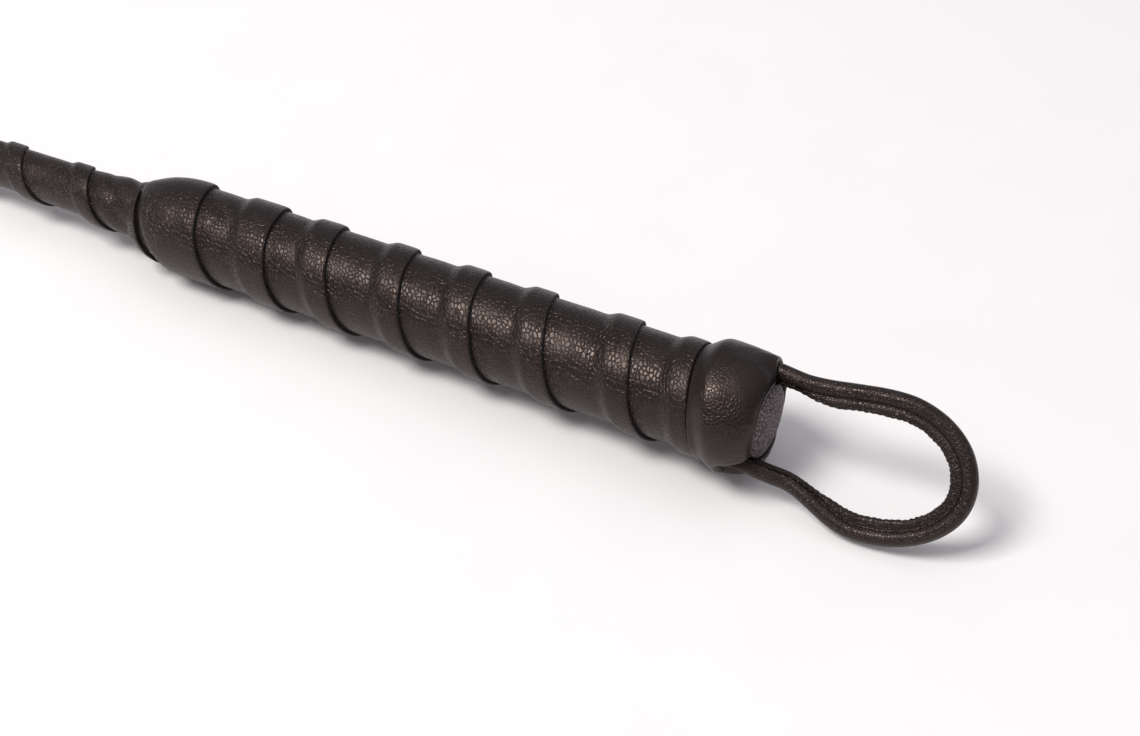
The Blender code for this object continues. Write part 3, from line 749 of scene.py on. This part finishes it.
def loop_frame(line):
    """The line in crop space, with its directions outwards and across the loop's plane."""
    along = np.gradient(line, axis=0)
    along /= np.linalg.norm(along, axis=1)[:, None]
    outward = np.stack([along[:, 1], -along[:, 0]], -1)

    def in_crop(flat):
        return np.stack([-flat[:, 1], flat[:, 0] * LOOP_FRONT, flat[:, 0] * LOOP_UP], -1)

    across = np.array([0.0, LOOP_UP, -LOOP_FRONT])
    return in_crop(line), in_crop(outward), across


def strap_outline(reach):
    """Half of the strap's section, from its cut edge to the top of its bead."""
    flange = [(-reach + 0.45, 0.0), (-reach, 0.22), (-reach - 0.02, 0.7), (-reach + 0.2, 1.05),
              (-reach + 0.9, FLANGE_HALF), (-2.55, 1.16), (-2.15, 0.98), (-1.8, 1.0)]
    bead = [(BEAD * math.cos(a), BEAD * math.sin(a)) for a in np.radians(np.linspace(146.0, 0.0, 13))]
    return np.array(flange + bead)


def tab_outline(half):
    """Half of the flat end's section, with as many points as the strap's."""
    inner = [(-1.0, (half - 0.2) * i / 7.0) for i in range(8)]
    side = [(-0.85 + 0.24 * i, half + 0.1 * math.sin(math.pi * i / 7.0)) for i in range(8)]
    outer = [(1.0, (half - 0.2) * (1.0 - i / 4.0)) for i in range(5)]
    return np.array(inner + side + outer)


def make_loop():
    """The strap, flat at its two roots, and the whip stitches that close its flange."""
    line, length = loop_line(0.55)
    middle, outward, across = loop_frame(line)
    out = line[:, 1]
    upper = line[:, 0] > 0.0
    full = np.where(upper, smooth(-5.0, 0.5, out), smooth(-3.0, 4.0, out))
    frontward = np.where(upper, 0.0, LOWER_ROOT_FRONT * (1.0 - smooth(-1.0, 13.0, out)))
    middle += frontward[:, None] * across
    narrow = np.where(upper, 0.38 * (1.0 - smooth(6.0, 18.0, out)),
                      0.48 * (1.0 - smooth(10.0, 32.0, out)))
    scallop = 0.22 * np.abs(np.sin(math.pi * length / WHIP_PITCH)) + 0.15 * drift(length / 2.3, 3.0)
    flange = FLANGE * (1.0 - narrow) + scallop
    twist = LOOP_TWIST * np.sin(length / 23.0) * full
    rings = []
    for i in range(len(line)):
        strap = strap_outline(flange[i])
        tab = tab_outline(UPPER_TAB_HALF if upper[i] else LOWER_TAB_HALF)
        half = tab * (1.0 - full[i]) + strap * full[i]
        section = np.concatenate([half, half[-2:0:-1] * (1.0, -1.0)])
        section *= 1.0 + 0.025 * drift(length[i] / 6.0, 2.0)
        rings.append(middle[i] + section[:, :1] * outward[i] + (section[:, 1:] + twist[i]) * across)
    count = len(rings[0])
    cut_faces = [0, 1, count - 1, count - 2]
    strap = loft("loop_leather_strap", np.array(rings), loop_hide, edge_faces=cut_faces,
                 edge_material=raw_edge)

    stitches = []
    first = math.ceil(WHIP_FREE_END / WHIP_PITCH)
    last = int((length[-1] - WHIP_FREE_END) / WHIP_PITCH)
    for number in range(first, last):
        bend = np.linspace(-1.0, 1.0, 9)
        i = np.searchsorted(length, number * WHIP_PITCH + 0.4 * bend)
        depth = -flange[i] - 0.04 + 1.1 * (1.0 - np.cos(0.5 * math.pi * bend))
        side = (FLANGE_HALF + 0.06) * np.sin(0.5 * math.pi * bend) + twist[i]
        stitches.append(middle[i] + depth[:, None] * outward[i] + side[:, None] * across)
    whip = threads("loop_whip_stitches", stitches, 0.17, thread)

    for piece in (strap, whip):
        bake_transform(piece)
    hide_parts("loop_strap", "loop_cord", "loop_tab_upper", "loop_tab_lower")


# ---------------------------------------------------------------- keeper

def keeper_half_width(s):
    past = s - KEEPER_ROOT
    width = NECK_RADIUS + (NECK_HALF - NECK_RADIUS) * smooth(-5.0, 1.0, past)
    width = width + (KEEPER_HALF - NECK_HALF) * smooth(1.0, 15.0, past)
    beyond = np.clip(past - (KEEPER_LENGTH - KEEPER_CORNER), 0.0, KEEPER_CORNER - 0.02)
    return width - KEEPER_CORNER + np.sqrt(KEEPER_CORNER ** 2 - beyond ** 2)


def keeper_half_height(s):
    past = s - KEEPER_ROOT
    return NECK_RADIUS + (KEEPER_THICK - NECK_RADIUS) * smooth(-5.0, 6.0, past)


def make_keeper():
    """One piece folded over the tip: bound round it at the neck, and two leaves thick beyond."""
    flat = np.linspace(0.0, 1.0, 40)
    s = np.concatenate([NECK_START + 0.6 * flat[:3], np.linspace(NECK_START + 0.9, 603.0, 34),
                        np.linspace(604.0, KEEPER_ROOT + 52.5, 60),
                        KEEPER_ROOT + 52.5 + 7.45 * np.sin(0.5 * math.pi * flat[1:])])
    angle = np.linspace(0.0, 2.0 * math.pi, 81)[:-1]
    rings = []
    for place in s:
        flatness = float(smooth(597.0, 612.0, place))
        power = 1.0 - 0.72 * flatness
        y = np.sign(np.cos(angle)) * np.abs(np.cos(angle)) ** power
        z = np.sign(np.sin(angle)) * np.abs(np.sin(angle)) ** power
        seam = 1.0 - 0.05 * flatness * np.exp(-(z / 0.22) ** 2)
        start = 1.0 - 0.12 * math.exp(-(place - NECK_START) / 0.5)
        wide = float(keeper_half_width(place)) * start
        high = float(keeper_half_height(place)) * start
        gutter = np.exp(-((np.abs(y) * wide - (wide - SEAM_INSET)) / 0.55) ** 2)
        ripple = 0.10 * drift(place / 7.0 + 2.0 * y, 4.0)
        z = z * (high + flatness * (ripple - 0.16 * gutter))
        rings.append(np.stack([np.full_like(y, place), y * wide * seam, z], -1))
    flap = loft("keeper_leather_flap", np.array(rings), keeper_hide)

    stitches = []
    for side in (-1.0, 1.0):
        for face in (-1.0, 1.0):
            for at in np.arange(KEEPER_ROOT + 8.0, KEEPER_ROOT + KEEPER_LENGTH - 5.0, KEEPER_STITCH):
                run = at + np.linspace(-1.0, 1.0, 7)
                wide = keeper_half_width(run) - SEAM_INSET
                high = keeper_half_height(run) - 0.02 + 0.10 * np.cos(0.5 * math.pi * (run - at))
                stitches.append(np.stack([run, side * wide, face * high], -1))
    for face in (-1.0, 1.0):
        for at in np.arange(-2, 3) * KEEPER_STITCH:
            run = at + np.linspace(-1.0, 1.0, 7)
            end = np.full_like(run, KEEPER_ROOT + KEEPER_LENGTH - 2.6)
            high = KEEPER_THICK - 0.02 + 0.10 * np.cos(0.5 * math.pi * (run - at))
            stitches.append(np.stack([end, run, face * high], -1))
    seams = threads("keeper_stitches", stitches, 0.28, thread)

    for piece in (flap, seams):
        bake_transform(piece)
    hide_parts("keeper_neck", "keeper_leaf_top", "keeper_leaf_bottom")


# ---------------------------------------------------------------- the CAD's own pieces

def dress_cad_nodes():
    """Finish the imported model's own pieces, most of which are under the leather."""
    finishes = {
        "tip_whipping": thread,
        "shaft_filler": wound_linen(),
        "shaft_core": drawn_fibreglass(),
        "handle_core": turned_beech(),
        "handle_padding": pressed_felt(),
        "tip_cap": pressed_steel(),
    }
    same = {"loop_cord": "shaft_filler", "bore_plug": "handle_core",
            "knob_buildup": "handle_padding", "end_pad": "handle_padding"}
    for number in range(1, 5):
        same["loop_tack_%d" % number] = "tip_cap"
    for node, like in same.items():
        finishes[node] = finishes[like]
    for node, material in finishes.items():
        mesh = frame["nodes"][node].data
        mesh.materials.clear()
        mesh.materials.append(material)


make_camera()
make_studio()
dress_cad_nodes()
make_handle_wrap()
make_shaft_wrap()
make_knob()
make_end_disc()
make_loop()
make_keeper()
